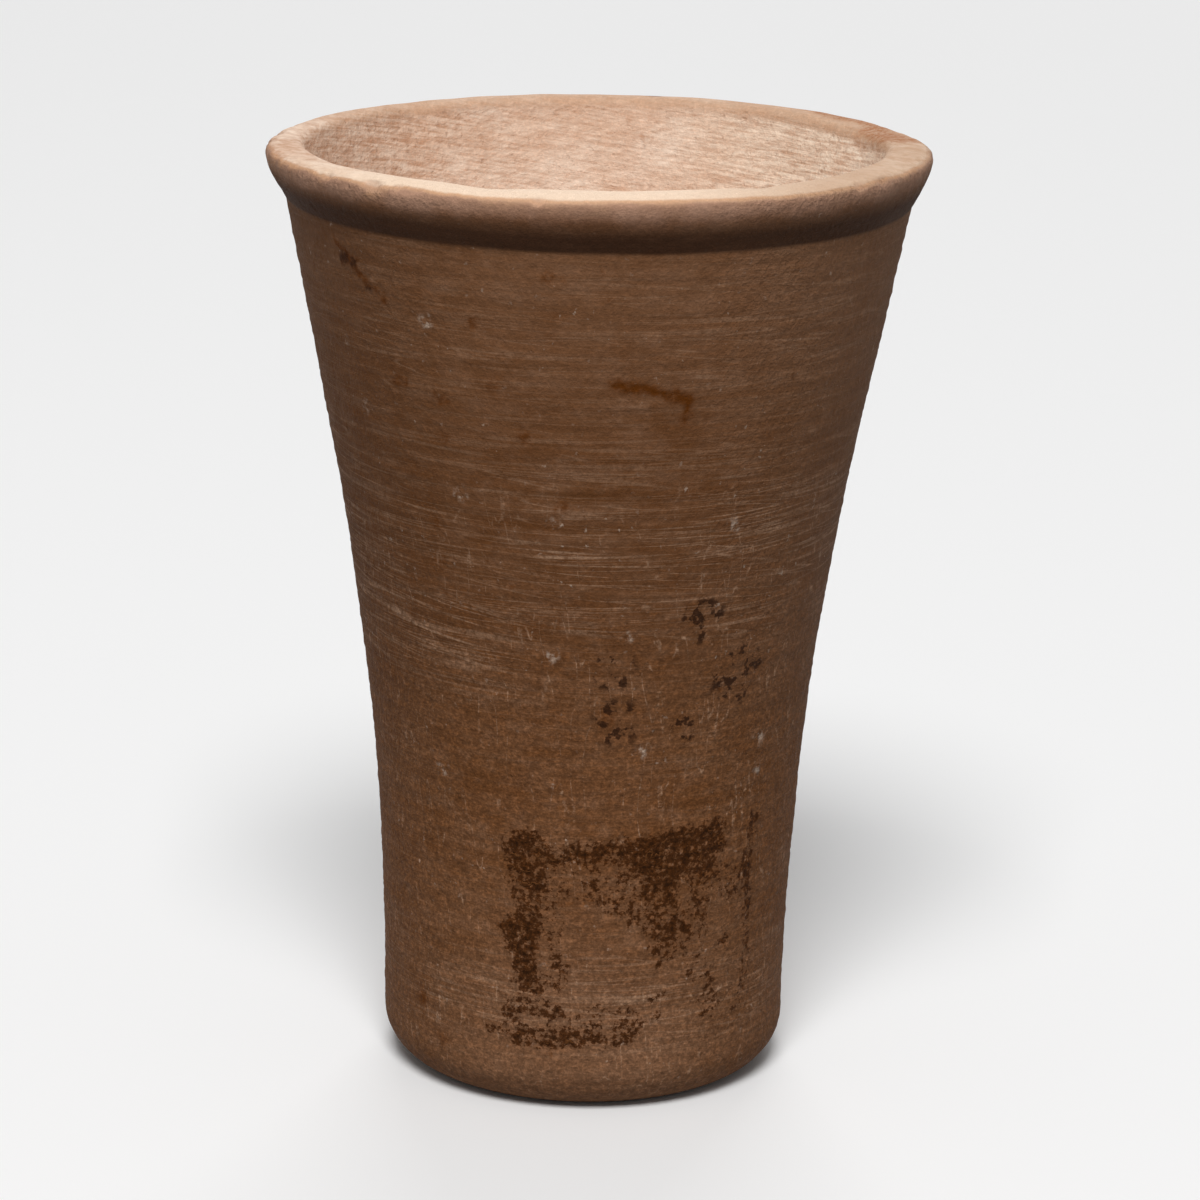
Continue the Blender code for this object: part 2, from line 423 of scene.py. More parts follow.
def make_stone():
    """The vase's body: turned, then worn by hand, with what the finish needs to know kept on its points."""
    stone = turn_body("stone_body", stone_profile())
    mesh = stone.data
    points = read_points(mesh)
    normals = read_points(mesh, "normal")
    heights = points[:, 2].copy()
    across = across_wall(np.hypot(points[:, 0], points[:, 1]), heights)
    outside = smooth_step(*OUTSIDE_FADE, across)
    inside = 1 - smooth_step(*BORE_FADE, across)
    rim_top = smooth_step(*RIM_TOP_FADE, heights)
    lip = smooth_step(HEIGHT - LIP_HEIGHT, HEIGHT - LIP_EDGE, heights) * outside

    lift = uneven(points, WORKED) + uneven(points, GROUND) * outside * (1 - lip)
    lift = lift + uneven(points, DRILLED) * inside + uneven(points, KNOCKED) * lip
    lift = lift * smooth_step(*BASE_FADE, heights)
    waves = uneven(points, RIM_WAVES)
    points += normals * (lift * MM)[:, None]
    points[:, 2] += waves * rim_top * MM
    points += np.outer((1 - across) * smooth_step(FLOOR_THICKNESS, HEIGHT, heights), BORE_SHIFT)

    chipped = wear_edges(points)
    rise = RIM_RISE + (RIM_TILT.x * points[:, 0] + RIM_TILT.y * points[:, 1]) / RIM_RADIUS
    points[:, 2] += rise * smooth_step(NECK[1], HEIGHT - LIP_EDGE, heights)
    write_points(mesh, points)
    write_attribute(mesh, "drawn", heights / MM)
    write_attribute(mesh, "across", across)
    write_attribute(mesh, "chipped", chipped)
    along = np.arctan2(points[:, 0], -points[:, 1]) * FILM_RADIUS / MM
    write_attribute(mesh, "stain", dabs_left(along, heights / MM) * (across > STAIN_ACROSS))
    return stone


def dab_left(along, up, dab):
    """How much paste one dab leaves at each place, fading out past its half width."""
    start, end, start_half, end_half, left = dab
    start, step = np.array(start), np.subtract(end, start)
    share = np.clip(((along - start[0]) * step[0] + (up - start[1]) * step[1]) / (step @ step), 0.0, 1.0)
    away = np.hypot(along - start[0] - share * step[0], up - start[1] - share * step[1])
    half = start_half + (end_half - start_half) * share
    return left * (1 - smooth_step(*DAB_FADE, away / half))


def dabs_left(along, up):
    """How much paste is left at each place on the flattened wall."""
    line = zip(PASTE_LINE, PASTE_LINE[1:])
    dabs = PASTE_DABS + tuple((a, b, PASTE_LINE_HALF, PASTE_LINE_HALF, PASTE_LINE_LEFT) for a, b in line)
    return np.max([dab_left(along, up, dab) for dab in dabs], axis=0)


def flakes_left(along, up):
    """The same, broken up into grains, level streaks and patches."""
    left = dabs_left(along, up)
    flat = np.column_stack([along, up, np.zeros(len(along))])
    return left + np.where(left > BARE, uneven(flat, FLAKE_LUMPS, unit=1.0), 0.0)


def part_corners():
    """Parts the flakes that touch at a corner alone, so that each has its own closed edge."""
    bpy.ops.mesh.select_mode(type="VERT")
    bpy.ops.mesh.select_all(action="DESELECT")
    bpy.ops.mesh.select_non_manifold(
        use_wire=False, use_boundary=False, use_multi_face=False, use_non_contiguous=False, use_verts=True
    )
    bpy.ops.mesh.edge_split(type="VERT")


def flat_flakes():
    """A fine flat sheet, in millimetres along the wall and up, with all but its flakes deleted."""
    width, height = FILM_RIGHT - FILM_LEFT, FILM_HIGH - FILM_LOW
    bpy.ops.object.select_all(action="DESELECT")
    bpy.ops.mesh.primitive_grid_add(
        x_subdivisions=round(width / FILM_CELL), y_subdivisions=round(height / FILM_CELL), size=1.0
    )
    sheet = bpy.context.object
    sheet.name = sheet.data.name = "paste_flakes"
    bpy.context.tool_settings.mesh_select_mode = (False, False, True)
    bpy.ops.object.mode_set(mode="EDIT")
    bpy.ops.transform.resize(value=(width, height, 1.0))
    bpy.ops.transform.translate(value=(FILM_LEFT + width / 2, FILM_LOW + height / 2, 0.0))
    bpy.ops.mesh.select_all(action="DESELECT")
    bpy.ops.object.mode_set(mode="OBJECT")
    middles = np.empty(len(sheet.data.polygons) * 3)
    sheet.data.polygons.foreach_get("center", middles)
    along, up, _ = middles.reshape(-1, 3).T
    sheet.data.polygons.foreach_set("select", flakes_left(along, up) < FILM_CUT)
    bpy.ops.object.mode_set(mode="EDIT")
    bpy.ops.mesh.delete(type="FACE")
    part_corners()
    bpy.ops.mesh.select_all(action="SELECT")
    bpy.ops.mesh.vertices_smooth(factor=0.5, repeat=2)
    bpy.ops.object.mode_set(mode="OBJECT")
    return sheet


def make_paste(stone):
    """Flakes of dried paste, bent round the wall, laid on it and given their thickness."""
    paste = flat_flakes()
    mesh = paste.data
    along, up, _ = read_points(mesh).T
    write_attribute(mesh, "left", flakes_left(along, up))
    turns = along * MM / FILM_RADIUS
    heights = up * MM
    radii = wall_radius(heights) + FILM_START
    write_points(mesh, np.column_stack([radii * np.sin(turns), -radii * np.cos(turns), heights]))

    laid = paste.modifiers.new("laid", "SHRINKWRAP")
    laid.target = stone
    laid.wrap_method = "NEAREST_SURFACEPOINT"
    laid.wrap_mode = "ABOVE_SURFACE"
    laid.offset = FILM_GAP
    thick = paste.modifiers.new("thick", "SOLIDIFY")
    thick.thickness = FILM_THICKNESS
    thick.offset = 1.0
    for modifier in ("laid", "thick"):
        bpy.ops.object.modifier_apply(modifier=modifier)
    bpy.ops.object.shade_smooth()
    return paste


# Finishes

# The colour sockets of a Mix node, by number
MIX_FACTOR, MIX_FIRST, MIX_SECOND, MIX_RESULT = 0, 6, 7, 2


def tone(red, green, blue):
    """A colour written as the eye reads it, from 0 to 255, as the linear one that a shader takes."""
    shares = [value / 255 for value in (red, green, blue)]
    linear = [s / 12.92 if s <= 0.04045 else ((s + 0.055) / 1.055) ** 2.4 for s in shares]
    return (*linear, 1.0)


class Wire:
    """A node's output that takes part in Python expressions, each of which adds its Math node."""

    def __init__(self, finish, socket):
        self.finish = finish
        self.socket = socket

    def math(self, operation, *values):
        return self.finish.add("ShaderNodeMath", {"operation": operation}, values)

    def __add__(self, other):
        return self.math("ADD", self, other)

    def __radd__(self, other):
        return self.math("ADD", other, self)

    def __sub__(self, other):
        return self.math("SUBTRACT", self, other)

    def __rsub__(self, other):
        return self.math("SUBTRACT", other, self)

    def __mul__(self, other):
        return self.math("MULTIPLY", self, other)

    def __rmul__(self, other):
        return self.math("MULTIPLY", other, self)

    def __truediv__(self, other):
        return self.math("DIVIDE", self, other)

    def __abs__(self):
        return self.math("ABSOLUTE", self)

    def most(self, other):
        return self.math("MAXIMUM", self, other)

    def least(self, other):
        return self.math("MINIMUM", self, other)

    def rise(self, low, high):
        """0 below low, 1 above high and smooth between them. With low above high it falls instead."""
        if low > high:
            return 1 - self.rise(high, low)
        settings = {"interpolation_type": "SMOOTHSTEP"}
        inputs = {"Value": self, "From Min": low, "From Max": high}
        return self.finish.add("ShaderNodeMapRange", settings, inputs)

    def hump(self, middle, half):
        """1 at the middle, fading to 0 at the half width on either side."""
        return abs(self - middle).rise(half, 0.0)


class Finish:
    """One material, or the sky, built node by node round its shader."""

    def __init__(self, name, family=bpy.data.materials, shader="Principled BSDF"):
        self.material = family.new(name)
        self.material.use_nodes = True
        self.tree = self.material.node_tree
        self.shader = self.tree.nodes[shader]

    def add(self, kind, settings=None, inputs=(), output=0):
        """A new node: its settings first, then its sockets' values or links. Gives one of its outputs."""
        node = self.tree.nodes.new(kind)
        for key, value in (settings or {}).items():
            setattr(node, key, value)
        named = inputs.items() if isinstance(inputs, dict) else enumerate(inputs)
        for key, value in named:
            self.feed(node.inputs[key], value)
        return Wire(self, node.outputs[output])

    def feed(self, socket, value):
        if isinstance(value, Wire):
            self.tree.links.new(value.socket, socket)
        else:
            socket.default_value = value

    def vector_math(self, operation, *values, output="Vector"):
        return self.add("ShaderNodeVectorMath", {"operation": operation}, values, output)

    def scaled(self, vector, scale):
        return self.add("ShaderNodeVectorMath", {"operation": "SCALE"}, {"Vector": vector, "Scale": scale})

    def place(self):
        """The point on the piece, in millimetres, as a vector and as its three parts."""
        spot = self.scaled(self.add("ShaderNodeTexCoord", output="Object"), 1 / MM)
        return spot, [self.add("ShaderNodeSeparateXYZ", None, [spot], axis) for axis in range(3)]

    def attribute(self, name):
        return self.add("ShaderNodeAttribute", {"attribute_name": name}, output="Fac")

    def vector(self, x, y, z):
        return self.add("ShaderNodeCombineXYZ", None, (x, y, z))

    def grain(self, vector, scale=1.0, detail=2.0, roughness=0.5):
        inputs = {"Vector": vector, "Scale": scale, "Detail": detail, "Roughness": roughness}
        return self.add("ShaderNodeTexNoise", None, inputs)

    def mix(self, factor, first, second, blend="MIX"):
        settings = {"data_type": "RGBA", "blend_type": blend}
        inputs = {MIX_FACTOR: factor, MIX_FIRST: first, MIX_SECOND: second}
        return self.add("ShaderNodeMix", settings, inputs, MIX_RESULT)

    def near(self, spot, place, reach):
        """1 at that place, fading to 0 at its reach."""
        return self.vector_math("DISTANCE", spot, place, output="Value").rise(reach, 0.0)

    def line(self, spot, start, end, half):
        """1 on the line between two places, fading to 0 at its half width."""
        step = np.subtract(end, start)
        away = self.vector_math("SUBTRACT", spot, start)
        share = self.vector_math("DOT_PRODUCT", away, tuple(step / (step @ step)), output="Value")
        foot = self.scaled(tuple(step), share.most(0.0).least(1.0))
        return self.near(away, foot, half)

    def wander(self, spot, scale, reach):
        """The same place moved about a little, so that what is drawn there wanders."""
        inputs = {"Vector": spot, "Scale": scale, "Detail": 3.0}
        shift = self.add("ShaderNodeTexNoise", None, inputs, "Color")
        shift = self.vector_math("SUBTRACT", shift, (0.5, 0.5, 0.5))
        return self.vector_math("ADD", spot, self.scaled(shift, 2 * reach))

    def shown(self):
        """1 to the camera and to what mirrors or lets it through, and 0 to light that only bounces."""
        rays = ("Is Camera Ray", "Is Glossy Ray", "Is Transmission Ray")
        camera, mirrored, through = [self.add("ShaderNodeLightPath", output=ray) for ray in rays]
        return camera.most(mirrored).most(through)

    def bump(self, height):
        """The normal for a height in millimetres."""
        inputs = {"Strength": 1.0, "Distance": MM, "Height": height}
        return self.add("ShaderNodeBump", None, inputs)

    def finish(self, **sockets):
        """Sets the shader's sockets, named as in Blender with _ for a space, and gives the material."""
        for name, value in sockets.items():
            self.feed(self.shader.inputs[name.replace("_", " ")], value)
        return self.material


# The palette
WALL_BROWN = tone(112, 73, 44)
WALL_OCHRE = tone(103, 62, 29)
WALL_DARK = tone(76, 45, 24)
# Pale haze on the wall, and the same colour for the wall's painted light
WALL_HAZE_AND_LIGHT = tone(141, 105, 80)
SCRATCH_PALE = tone(190, 156, 129)
FLECK_PALE = tone(222, 202, 184)
SPOT_BROWN = tone(92, 48, 8)
# Grime with painted shade, for the undercut under the lip
GRIME_AND_PAINTED_SHADE = tone(54, 33, 22)
LIP_BROWN = tone(120, 82, 58)
LIP_ROSE = tone(150, 114, 94)
BORE_PAINTED_LIGHT = tone(255, 236, 214)
BORE_PALE = tone(246, 224, 204)
BORE_ROSE = tone(230, 199, 175)
BORE_BROWN = tone(180, 124, 84)
RIM_PALE = tone(245, 218, 192)
RIM_TAN = tone(188, 148, 116)
WORN_BROWN = tone(160, 100, 56)
BACK_RIM = tone(200, 160, 130)
# A painted glow for the front of the rim's outer edge
EDGE_PAINTED_GLOW = tone(208, 152, 106)
LIP_PALE = tone(186, 146, 122)
PASTE_STAIN = tone(66, 34, 8)
PASTE_CORE = tone(36, 18, 4)
PASTE_DARK = tone(48, 26, 10)
PASTE_BROWN = tone(74, 42, 18)
PASTE_THIN = tone(100, 62, 32)
FLECK_DARK = tone(42, 21, 9)
# Stone and paste are both dull
SPECULAR = 0.06

# Marks in the wall, at places given as a turn and a height in millimetres
# Veins, each drawn through its places, with its half width and strength
VEINS = (
    (((3.4, 97.4), (11.0, 96.6), (18.4, 95.5)), 1.3, 1.00),
    (((18.4, 95.5), (18.4, 92.7)), 1.2, 1.00),
    (((-54.7, 112.0), (-49.0, 108.2), (-42.5, 105.6)), 0.9, 0.90),
    (((-6.9, 28.3), (5.2, 29.8)), 0.35, 0.40),
)
# Spots, each with its reach and strength
BROWN_SPOTS = (
    ((-52.4, 12.1), 2.0, 0.85),
    ((-52.7, 109.7), 1.7, 1.00),
    ((-49.5, 109.9), 1.3, 0.95),
    ((-8.7, 110.9), 1.3, 0.75),
    ((-23.4, 104.6), 1.5, 0.75),
    ((-41.2, 95.4), 1.8, 0.70),
    ((-31.5, 94.1), 1.6, 0.75),
    ((-20.0, 96.7), 1.4, 0.60),
    ((-14.0, 90.4), 1.8, 0.75),
    ((-32.0, 88.9), 1.6, 0.60),
    ((-6.8, 81.4), 1.8, 0.70),
    ((-36.4, 77.6), 1.4, 0.60),
    ((-43.0, 7.7), 2.0, 0.50),
    ((-37.0, 72.0), 2.6, 0.35),
    ((-12.0, 66.0), 2.0, 0.40),
    ((4.5, 53.5), 2.2, 0.50),
    ((38.0, 90.0), 2.2, 0.30),
    ((120.0, 40.0), 2.4, 0.55),
    ((-128.0, 70.0), 3.0, 0.45),
    ((168.0, 95.0), 2.2, 0.50),
)
# Spots, scuffs and flecks, each with its reach
DARK_SPOTS = (
    ((-53.2, 109.8), 1.5),
    ((-50.4, 109.4), 1.3),
    ((-46.6, 106.6), 1.0),
)
PALE_SCUFFS = (
    ((-33.3, 103.7), 1.5),
    ((-57.3, 98.6), 1.1),
    ((-53.9, 90.9), 1.4),
    ((-29.1, 82.0), 1.5),
    ((-8.8, 79.5), 1.3),
    ((-40.7, 44.2), 1.5),
    ((-8.9, 61.5), 1.4),
    ((32.4, 78.3), 1.6),
    ((14.0, 48.9), 1.3),
    ((49.8, 48.7), 1.7),
    ((50.3, 43.9), 1.5),
    ((8.6, 64.5), 1.2),
    ((104.0, 58.0), 1.8),
    ((-160.0, 33.0), 1.5),
)
LOOSE_FLECKS = (
    ((6.0, 60.0), 4.0),
    ((7.0, 53.0), 4.5),
    ((27.0, 66.0), 4.5),
    ((39.0, 58.0), 6.0),
    ((24.0, 51.5), 3.0),
)

# Where the wall's tones change, in millimetres up it or across it, each from none of the change to all of it
HAZE_UP = (50, 76)
# A paler band towards the neck, painted light on the middle of the foot and on the right side, and painted
# shade on the left
NECK_LIGHT_UP = (84, 114)
FOOT_PAINTED_LIGHT_UP = (40, 4)
FOOT_PAINTED_LIGHT_ASIDE = (8, 24)
RIGHT_PAINTED_LIGHT = (8, 32)
RIGHT_PAINTED_LIGHT_UP = (44, 62)
LEFT_PAINTED_SHADE = (-12, -34)
COARSE_UP = (80, 48)
RAGGED_RIGHT = (10, 32)
RAGGED_LEFT = (-14, -34)
# A darker band, by middle and half width
WAIST_DARK = (72, 38)

# Grinding lines: how strong they are all over, and bands of them by middle, half width and strength
LINED_ALL_OVER = 0.10
LINED_BANDS = ((74, 20, 0.50), (102, 19, 0.16), (15, 10, 0.28))
# Sets of scratches: their length and gap in millimetres, tilt, width and seed
SCRATCH_SETS = (
    (70.0, 0.90, 0.010, 0.034, 3.0),
    (55.0, 0.75, -0.025, 0.036, 13.0),
    (30.0, 1.6, 0.07, 0.022, 27.0),
)
# One set dips, on the left alone, in a band by middle and half width
DIPPING_SET = (45.0, 0.85, 0.0, 0.038, 43.0)
DIP = 0.15
DIP_LEFT = (0, -14)
DIP_BAND = (64, 15)
# Upright hair scratches: their length, gap, lean and width, and where they are
HAIR_LENGTH = 18.0
HAIR_GAP = 1.9
HAIR_LEAN = 0.04
HAIR_WIDTH = 0.022
HAIR_UP = (92, 70)

# The bore and the rim, across the vase and from front to back
BORE_ASIDE = (6, 30)
# Where the bore's right side takes painted light and its left side painted shade
BORE_LIT = (4, 28)
BORE_SHADED = (4, -32)
RIM_FRONT = (-8, -34)
RIM_RIGHT = (6, 30)
RIM_BACK = (0, 30)
RIM_FRAYED = (-4, -22)
# Where the painted glow lies, at the front
PAINTED_GLOW_FRONT = (10, -20)
SMOOTH_FRONT = (20, 0)

# Bands of the lip, in millimetres under the rim's top, each from none of it to all of it
LIP_FACE = (4.2, 2.0)
# The face's upper band, where a painted highlight runs
LIP_PAINTED_HIGHLIGHT = (3.2, 1.5)
# Where grime and painted shade lie in the undercut
UNDERCUT_LOW = (6.4, 5.8)
UNDERCUT_HIGH = (2.2, 4.6)
PALE_UNDER = (2.6, 1.2)
RIM_UNDER = (1.8, 0.5)
WORN_UNDER = (4.0, 1.5)

# The worn patch on the rim, in bands from one turn and radius in millimetres to another, with half widths
WORN_BANDS = (((100, 39.4), (116, 39.4), 4.4), ((116, 40.6), (140, 41.0), 2.6))
RUST_PLACE = (169.5, 40.2)
RUST_UNDER = 0.4
RUST_REACH = 1.8


def on_wall(place):
    """A place on the wall, from its turn and its height in millimetres."""
    turn, up = place
    return tuple(on_turn(turn, wall_radius(up * MM), up * MM) / MM)


def on_rim(place, under=0.0):
    """A place on the rim, from its turn and its radius in millimetres, so far under the rim's top."""
    turn, radius = place
    return tuple(on_turn(turn, radius, HEIGHT / MM - under))


def level_strokes(stone, parts, long, fine, tilt=0.0, detail=3.0, seed=0.0):
    """Level strokes round the vase, so many millimetres long and fine, leaning by the tilt."""
    x, y, z = parts
    leaning = z + (x + y) * tilt if tilt else z
    where = stone.vector(x / long + seed, y / long, leaning / fine)
    return stone.grain(where, detail=detail, roughness=0.6)


def scratches(stone, parts, long, gap, tilt, width, seed):
    """Thin broken lines round the vase: where smooth strokes cross their middle value."""
    strokes = level_strokes(stone, parts, long, gap, tilt, detail=1.0, seed=seed)
    breaks = level_strokes(stone, parts, long=15.0, fine=1.6, tilt=tilt, detail=4.0, seed=seed + 31.0)
    return abs(strokes - 0.5).rise(width, 0.0) * breaks.rise(0.40, 0.60)


def wall_marks(stone, spot, colour):
    """Brown veins and spots, dark spots, pale scuffs and loose dark flecks."""
    wandering = stone.wander(spot, scale=0.6, reach=1.1)
    patchy = stone.grain(spot, scale=1.1, detail=3.0, roughness=0.6)
    broken = patchy.rise(0.15, 0.50)
    for places, half, strength in VEINS:
        for start, end in zip(places, places[1:]):
            vein = stone.line(wandering, on_wall(start), on_wall(end), half)
            colour = stone.mix(vein * broken * strength, colour, SPOT_BROWN)
    broken = patchy.rise(0.25, 0.65)
    for place, reach, strength in BROWN_SPOTS:
        blot = stone.near(wandering, on_wall(place), reach).rise(0.0, 0.8)
        colour = stone.mix(blot * broken * strength, colour, SPOT_BROWN)
    broken = patchy.rise(0.30, 0.55)
    for place, reach in DARK_SPOTS:
        blot = stone.near(wandering, on_wall(place), reach).rise(0.0, 0.8)
        colour = stone.mix(blot * broken * 0.75, colour, FLECK_DARK)
    broken = patchy.rise(0.45, 0.70)
    for place, reach in PALE_SCUFFS:
        scuff = stone.near(wandering, on_wall(place), reach)
        colour = stone.mix(scuff * broken * 0.7, colour, FLECK_PALE)
    crumbs = stone.grain(spot, scale=0.62, detail=3.0, roughness=0.6).rise(0.53, 0.60)
    for place, reach in LOOSE_FLECKS:
        cluster = stone.near(spot, on_wall(place), reach).rise(0.0, 0.4)
        colour = stone.mix(cluster * crumbs * 0.85, colour, FLECK_DARK)
    return colour


def wall_tones(stone, parts, dusty):
    """Brown stone with ochre clouds and a pale haze, lighter and darker up and across the wall, with painted
    light on the middle of the foot and on the right side, and painted shade on the left.
    """
    x, _, z = parts
    ochre = level_strokes(stone, parts, long=7.0, fine=5.0, detail=4.0, seed=11.0).rise(0.42, 0.64)
    mottle = level_strokes(stone, parts, long=2.4, fine=1.7, detail=2.0, seed=37.0).rise(0.50, 0.72)
    haze = level_strokes(stone, parts, long=26.0, fine=1.5, seed=51.0).rise(0.38, 0.70)
    haze = haze * dusty * (0.22 + 0.26 * z.rise(*HAZE_UP)) + mottle * 0.22
    # Painted light, paler on the middle of the foot and on the right side, and a paler band towards the
    # neck; painted shade on the left, and a darker band round the waist
    middle = 1 - 0.75 * abs(x).rise(*FOOT_PAINTED_LIGHT_ASIDE)
    painted_light_and_pale_neck = 0.05 + z.rise(*NECK_LIGHT_UP) * 0.19 + z.rise(*FOOT_PAINTED_LIGHT_UP) * middle * 0.40
    painted_light_and_pale_neck = painted_light_and_pale_neck + x.rise(*RIGHT_PAINTED_LIGHT) * z.rise(*RIGHT_PAINTED_LIGHT_UP) * 0.28
    painted_shade_and_waist = z.hump(*WAIST_DARK) * 0.20 + x.rise(*LEFT_PAINTED_SHADE) * 0.26
    colour = stone.mix(ochre * 0.70, WALL_BROWN, WALL_OCHRE)
    colour = stone.mix(haze, colour, WALL_HAZE_AND_LIGHT)
    colour = stone.mix(painted_light_and_pale_neck, colour, WALL_HAZE_AND_LIGHT)
    return stone.mix(painted_shade_and_waist, colour, WALL_DARK)


def wall_colour(stone, spot, parts, grit):
    """The outside's colour, fuzz and relief: its tones, grinding lines, hair scratches, flecks and marks."""
    x, y, z = parts
    dusty = stone.grain(spot, scale=0.22, detail=4.0, roughness=0.65).rise(0.34, 0.66)
    colour = wall_tones(stone, parts, dusty)

    zone = LINED_ALL_OVER
    for middle, half, strength in LINED_BANDS:
        zone = zone + strength * z.hump(middle, half)
    patchy = stone.grain(spot, scale=0.06).rise(0.30, 0.62)
    dipping = x.rise(*DIP_LEFT) * z.hump(*DIP_BAND)
    lined = (zone * (0.45 + 0.55 * patchy)).most(dipping * 0.42)
    broad = level_strokes(stone, parts, long=16.0, fine=0.60, tilt=0.02, detail=4.0)
    fuzz = level_strokes(stone, parts, long=0.9, fine=0.30, detail=2.0, seed=23.0)
    lines = scratches(stone, (x, y, z + x * DIP), *DIPPING_SET) * dipping * 1.4
    for scratch_set in SCRATCH_SETS:
        lines = lines.most(scratches(stone, parts, *scratch_set))
    lines = lines * grit.rise(0.26, 0.54) * lined
    colour = stone.mix(broad.rise(0.47, 0.28) * lined * 0.40, colour, WALL_DARK)
    colour = stone.mix(broad.rise(0.54, 0.74) * lined * 0.20, colour, SCRATCH_PALE)
    colour = stone.mix(lines * 0.80, colour, SCRATCH_PALE)

    upright = stone.vector(x / HAIR_GAP + z * HAIR_LEAN, y / HAIR_GAP, z / HAIR_LENGTH)
    hairs = abs(stone.grain(upright, detail=1.0) - 0.5).rise(HAIR_WIDTH, 0.0)
    hairs = hairs * dusty.rise(0.40, 0.95) * z.rise(*HAIR_UP) * grit.rise(0.40, 0.60)
    clusters = stone.grain(spot, scale=0.11).rise(0.44, 0.66)
    fleck = stone.grain(spot, scale=1.0, detail=3.0, roughness=0.55).rise(0.66, 0.76)
    fleck = fleck * (0.25 + 0.75 * clusters)
    blots = stone.grain(spot, scale=0.42, detail=3.0, roughness=0.6).rise(0.64, 0.80)
    colour = stone.mix(hairs * 0.40, colour, SCRATCH_PALE)
    colour = stone.mix(fleck * 0.45, colour, FLECK_PALE)
    colour = stone.mix(blots * 0.60, colour, SPOT_BROWN)
    colour = wall_marks(stone, spot, colour)
    relief = broad * 0.030 + fuzz * 0.030 - lines * 0.020 + fleck * 0.015
    return colour, fuzz, relief


def bore_colour(stone, spot, parts):
    """The bore's colour and relief: pale rose stone with short crossing strokes, brown specks and spots,
    painted light on its right side and painted shade on its left.
    """
    x = parts[0]
    aside = abs(x).rise(*BORE_ASIDE)
    clouds = stone.grain(spot, scale=0.09, detail=4.0, roughness=0.6).rise(0.35, 0.65)
    strokes = level_strokes(stone, parts, long=5.5, fine=0.36, tilt=0.14, seed=2.0)
    crossing = level_strokes(stone, parts, long=2.6, fine=0.46, tilt=-0.20, seed=6.0)
    fibres = strokes.rise(0.36, 0.60) * 0.65 + crossing.rise(0.40, 0.64) * 0.45
    gaps = (1 - fibres).most(0.0) * (0.42 + 0.20 * aside)
    specks = stone.grain(spot, scale=0.95, detail=3.0, roughness=0.6).rise(0.56, 0.72)
    spots = stone.grain(spot, scale=0.30, detail=3.0, roughness=0.6).rise(0.62, 0.78)
    colour = stone.mix(clouds, BORE_PALE, BORE_ROSE)
    # Painted light on the bore's right side, and painted shade on its left
    colour = stone.mix(x.rise(*BORE_LIT) * 0.85, colour, BORE_PAINTED_LIGHT)
    colour = stone.mix(gaps + x.rise(*BORE_SHADED) * 0.08, colour, BORE_BROWN)
    colour = stone.mix(specks * (0.16 + 0.16 * aside), colour, WORN_BROWN)
    colour = stone.mix(spots * 0.50, colour, WORN_BROWN)
    relief = strokes * 0.065 + crossing * 0.05 - specks * 0.05
    return colour, relief


def lip_colour(stone, colour, under, outside, clouded):
    """The wall's colour with the lip's over it: a rosy face, a painted highlight along its upper edge, and
    grime with painted shade in the undercut.
    """
    face = stone.mix(clouded.rise(0.40, 0.62), LIP_BROWN, LIP_ROSE)
    undercut = under.rise(*UNDERCUT_LOW) * under.rise(*UNDERCUT_HIGH) * outside
    colour = stone.mix(under.rise(*LIP_FACE) * 0.85, colour, face)
    # Painted highlight: the face paler towards the rim's edge, where the light falls on it
    colour = stone.mix(under.rise(*LIP_PAINTED_HIGHLIGHT) * (0.35 + 0.55 * clouded), colour, LIP_PALE)
    # Grime and painted shade in the undercut under the lip
    return stone.mix(undercut * 0.85, colour, GRIME_AND_PAINTED_SHADE)


def rim_colour(stone, parts, colour, rim_top, clouded):
    """The rim's top: pale at the front, tan on the right and browner at the back."""
    x, y, _ = parts
    colour = stone.mix(rim_top * y.rise(*RIM_FRONT) * 0.90, colour, RIM_PALE)
    colour = stone.mix(rim_top * x.rise(*RIM_RIGHT) * (0.40 + 0.50 * clouded), colour, RIM_TAN)
    return stone.mix(rim_top * y.rise(*RIM_BACK) * (0.45 + 0.45 * clouded), colour, BACK_RIM)


def worn_rim(stone, spot, colour, under, grit):
    """A worn brown patch and a rust spot on the rim."""
    wandering = stone.wander(spot, scale=0.25, reach=2.5)
    ends = [(on_rim(start), on_rim(end), half) for start, end, half in WORN_BANDS]
    first, second = [stone.line(wandering, *band) for band in ends]
    worn = first.most(second) * under.rise(*WORN_UNDER)
    worn = (worn * (0.30 + 0.9 * grit.rise(0.35, 0.65))).least(0.85)
    rust = stone.near(wandering, on_rim(RUST_PLACE, RUST_UNDER), RUST_REACH).rise(0.0, 0.5)
    colour = stone.mix(worn, colour, WORN_BROWN)
    return stone.mix(rust * 0.8, colour, SPOT_BROWN)


def paste_stain(stone, spot, colour):
    """The stain that the paste left in the stone, broken up into crumbs."""
    stain = stone.attribute("stain")
    crumbs = (stone.grain(spot, scale=1.4, detail=4.0, roughness=0.70) - 0.5) * 5.6
    crumbs = crumbs + (stone.grain(spot, scale=0.42) - 0.5) * 2.2
    soaked = stain.rise(0.02, 0.25) * (crumbs + stain * 1.25 - 0.47).rise(0.0, 0.60)
    colour = stone.mix(soaked * 0.92, colour, PASTE_STAIN)
    return stone.mix(soaked * (crumbs + stain).rise(1.0, 1.8) * 0.75, colour, PASTE_CORE)


